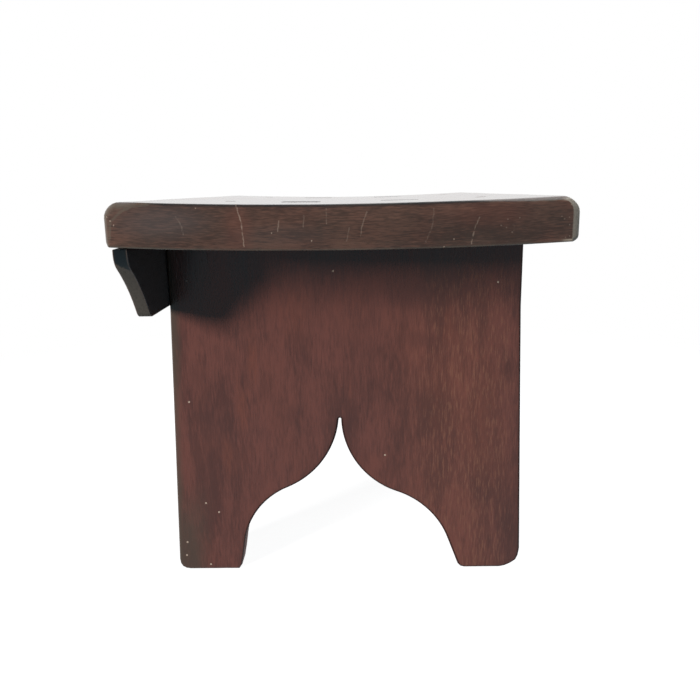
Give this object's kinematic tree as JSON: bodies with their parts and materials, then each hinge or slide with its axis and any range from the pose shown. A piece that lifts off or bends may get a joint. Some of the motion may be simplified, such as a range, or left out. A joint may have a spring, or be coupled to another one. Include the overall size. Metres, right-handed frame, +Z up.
{
  "type": "footstool",
  "caption": "Low wooden board stool to rest feet or sit on: thick cupped plank top on upright leg boards with an ogee arch cut in each foot, and a thin ogee-ended apron under an edge.",
  "frame": {"origin": "on the floor, under the middle of the top", "axes": "+Z up, +Y along the top from the front end (nearest the camera) to the rear end, +X to the right as seen from the front end, away from the apron"},
  "size_m": [0.2326, 0.35, 0.2395],
  "materials": {
    "stained_wood": "dark red-brown stain under worn, dull varnish",
    "wedge_wood": "stained end grain, darker than the boards",
    "nail_iron": "dull, dark"
  },
  "bodies": {
    "root": {"top_board": "stained_wood", "front_leg_board": "stained_wood", "rear_leg_board": "stained_wood", "side_apron": "stained_wood", "front_left_wedge": "wedge_wood", "front_right_wedge": "wedge_wood", "rear_left_wedge": "wedge_wood", "rear_right_wedge": "wedge_wood", "top_nails": "nail_iron", "apron_nails": "nail_iron"}
  },
  "joints": []
}
